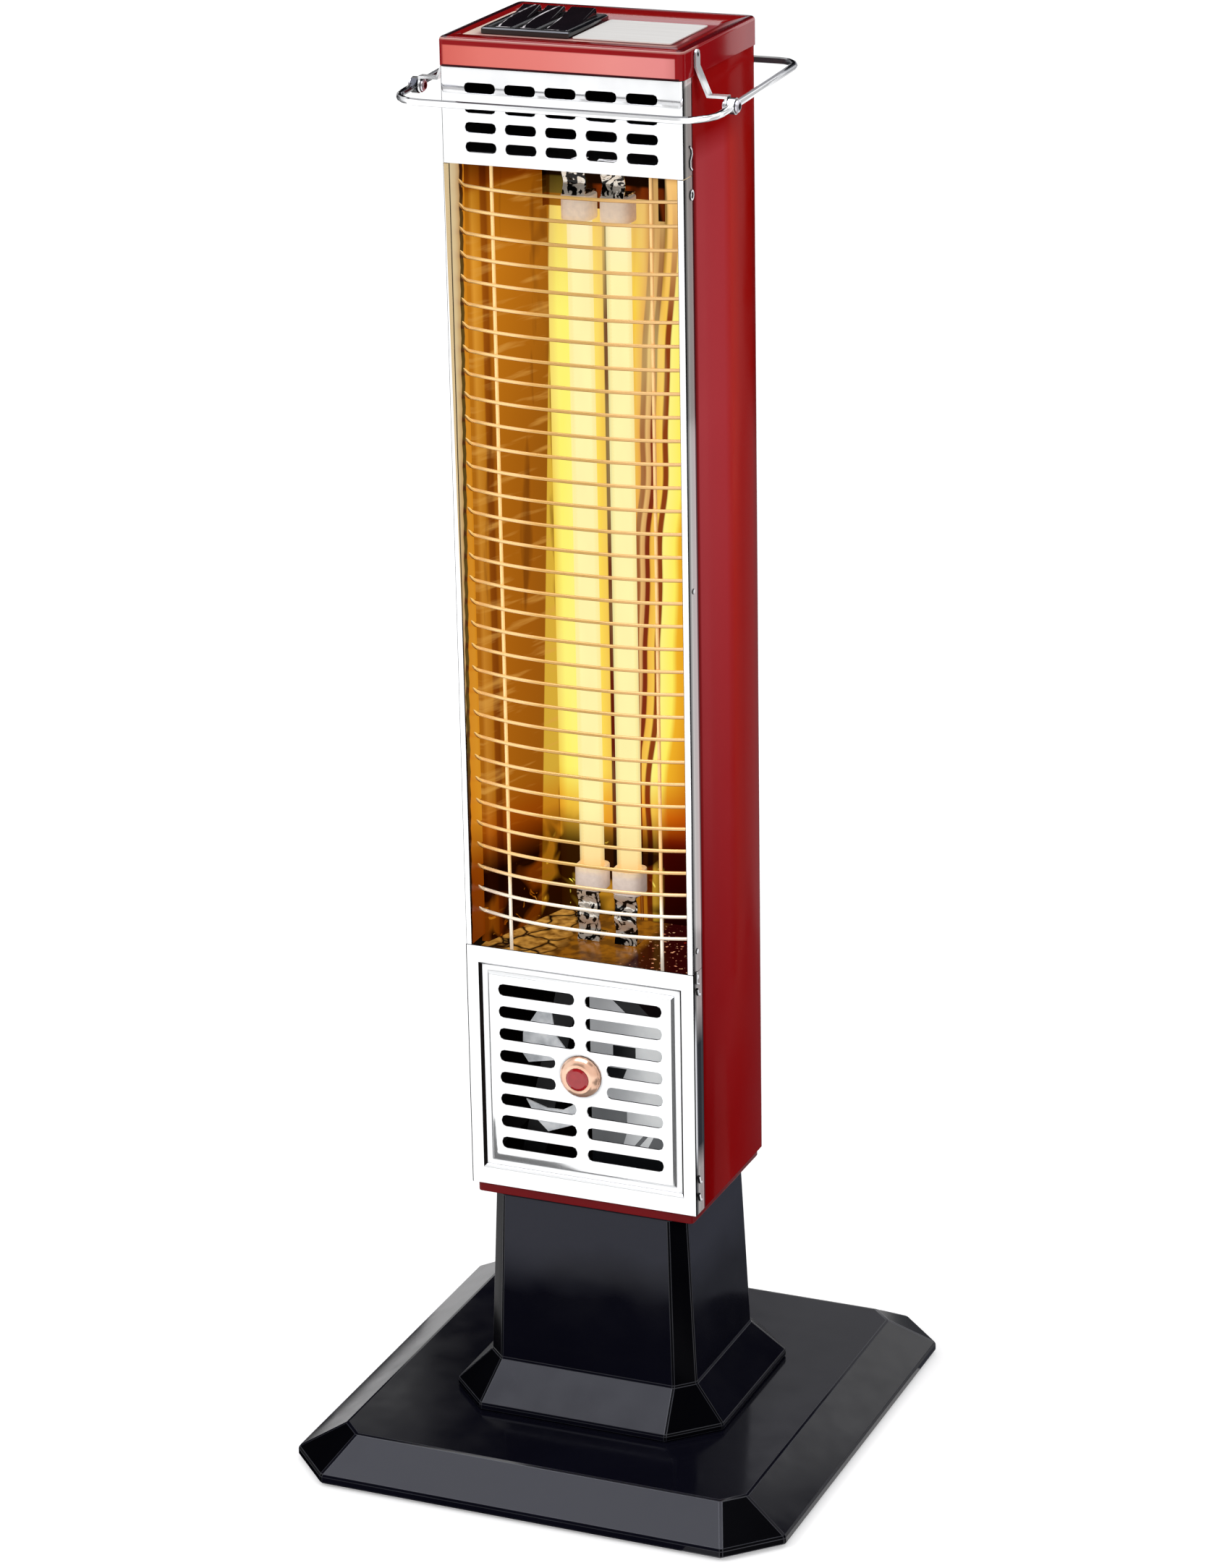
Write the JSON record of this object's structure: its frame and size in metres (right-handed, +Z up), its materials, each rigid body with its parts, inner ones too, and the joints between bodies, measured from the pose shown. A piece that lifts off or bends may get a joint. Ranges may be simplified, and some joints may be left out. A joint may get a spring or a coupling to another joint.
{
  "type": "quartz tower heater",
  "caption": "Slim upright quartz heater: glowing tubes behind a bowed wire guard in a steel tower, slotted bright panels, swinging wire handle, top rocker switches, pedestal and wide base.",
  "frame": {"origin": "middle of the footprint, on the floor", "axes": "+Z up, the guard and lamps face -Y, +X to the right seen from the front"},
  "size_m": [0.305, 0.315, 0.8346],
  "materials": {
    "base_cover": "black gloss moulding",
    "base_plate": "zinc plated sheet",
    "foot_front_left": "black rubber",
    "foot_front_right": "black rubber",
    "foot_rear_left": "black rubber",
    "foot_rear_right": "black rubber",
    "tip_switch_body": "moulded phenolic",
    "tip_switch_plunger": "black nylon",
    "pedestal": "black gloss moulding",
    "clamp_plate": "zinc plated sheet",
    "bottom_pan": "red gloss paint",
    "tower_housing": "red gloss paint",
    "cord_inlet": "black rubber",
    "top_louvre_panel": "polished plate",
    "lower_louvre_panel": "polished plate",
    "badge_boss": "polished copper tone",
    "badge_disc": "red enamel",
    "left_stile": "polished plate",
    "right_stile": "polished plate",
    "guard_grille": "bright plated wire",
    "reflector": "bright reflector sheet",
    "lower_deck": "plated sheet",
    "upper_deck": "plated sheet",
    "thermal_cutout": "moulded phenolic",
    "quartz_tube_left": "satin quartz, glowing",
    "quartz_tube_right": "satin quartz, glowing",
    "heating_coil_left": "hot resistance wire",
    "heating_coil_right": "hot resistance wire",
    "lamp_cap_lower_left": "steatite",
    "lamp_cap_lower_right": "steatite",
    "lamp_cap_upper_left": "steatite",
    "lamp_cap_upper_right": "steatite",
    "lamp_holder_lower_left": "spring strip",
    "lamp_holder_lower_right": "spring strip",
    "lamp_holder_upper_left": "spring strip",
    "lamp_holder_upper_right": "spring strip",
    "wiring_cover": "bright sheet",
    "chassis_brace": "plated strap",
    "terminal_block": "moulded phenolic",
    "top_cap": "red gloss paint",
    "rating_plate": "bare satin plate",
    "switch_bezel": "black gloss",
    "switch_body": "black moulding",
    "rocker_left": "black gloss",
    "rocker_middle": "black gloss",
    "rocker_right": "black gloss",
    "handle_bracket_left": "plated strip",
    "handle_bracket_right": "plated strip",
    "handle_rivet_left": "plated rivet",
    "handle_rivet_right": "plated rivet",
    "carry_handle": "plated wire"
  },
  "bodies": {
    "tower": {"base_cover": "base_cover", "base_plate": "base_plate", "foot_front_left": "foot_front_left", "foot_front_right": "foot_front_right", "foot_rear_left": "foot_rear_left", "foot_rear_right": "foot_rear_right", "tip_switch_body": "tip_switch_body", "pedestal": "pedestal", "clamp_plate": "clamp_plate", "bottom_pan": "bottom_pan", "tower_housing": "tower_housing", "cord_inlet": "cord_inlet", "top_louvre_panel": "top_louvre_panel", "lower_louvre_panel": "lower_louvre_panel", "badge_boss": "badge_boss", "badge_disc": "badge_disc", "left_stile": "left_stile", "right_stile": "right_stile", "guard_grille": "guard_grille", "reflector": "reflector", "lower_deck": "lower_deck", "upper_deck": "upper_deck", "thermal_cutout": "thermal_cutout", "quartz_tube_left": "quartz_tube_left", "quartz_tube_right": "quartz_tube_right", "heating_coil_left": "heating_coil_left", "heating_coil_right": "heating_coil_right", "lamp_cap_lower_left": "lamp_cap_lower_left", "lamp_cap_lower_right": "lamp_cap_lower_right", "lamp_cap_upper_left": "lamp_cap_upper_left", "lamp_cap_upper_right": "lamp_cap_upper_right", "lamp_holder_lower_left": "lamp_holder_lower_left", "lamp_holder_lower_right": "lamp_holder_lower_right", "lamp_holder_upper_left": "lamp_holder_upper_left", "lamp_holder_upper_right": "lamp_holder_upper_right", "wiring_cover": "wiring_cover", "chassis_brace": "chassis_brace", "terminal_block": "terminal_block", "top_cap": "top_cap", "rating_plate": "rating_plate", "switch_bezel": "switch_bezel", "switch_body": "switch_body", "handle_bracket_left": "handle_bracket_left", "handle_bracket_right": "handle_bracket_right", "handle_rivet_left": "handle_rivet_left", "handle_rivet_right": "handle_rivet_right"},
    "handle": {"carry_handle": "carry_handle"},
    "left_rocker": {"rocker_left": "rocker_left"},
    "middle_rocker": {"rocker_middle": "rocker_middle"},
    "right_rocker": {"rocker_right": "rocker_right"},
    "plunger": {"tip_switch_plunger": "tip_switch_plunger"}
  },
  "joints": [
    {"name": "handle_swing", "type": "hinge", "parent": "tower", "child": "handle", "pos_m": [0, -0.0365, 0.7973], "axis": [1, 0, 0], "range_deg": [-25.5, 54]},
    {"name": "left_rocker_tilt", "type": "hinge", "parent": "tower", "child": "left_rocker", "pos_m": [-0.0452, -0.005, 0.8264], "axis": [1, 0, 0], "range_deg": [-16, 0]},
    {"name": "middle_rocker_tilt", "type": "hinge", "parent": "tower", "child": "middle_rocker", "pos_m": [-0.031, -0.005, 0.8264], "axis": [1, 0, 0], "range_deg": [-16, 0]},
    {"name": "right_rocker_tilt", "type": "hinge", "parent": "tower", "child": "right_rocker", "pos_m": [-0.0148, -0.005, 0.8264], "axis": [1, 0, 0], "range_deg": [-16, 0]},
    {"name": "plunger_slide", "type": "slide", "parent": "tower", "child": "plunger", "axis": [0, 0, -1], "range_m": [0, 0.004], "stiffness_N_per_m": 40, "springref_m": 0.008}
  ]
}
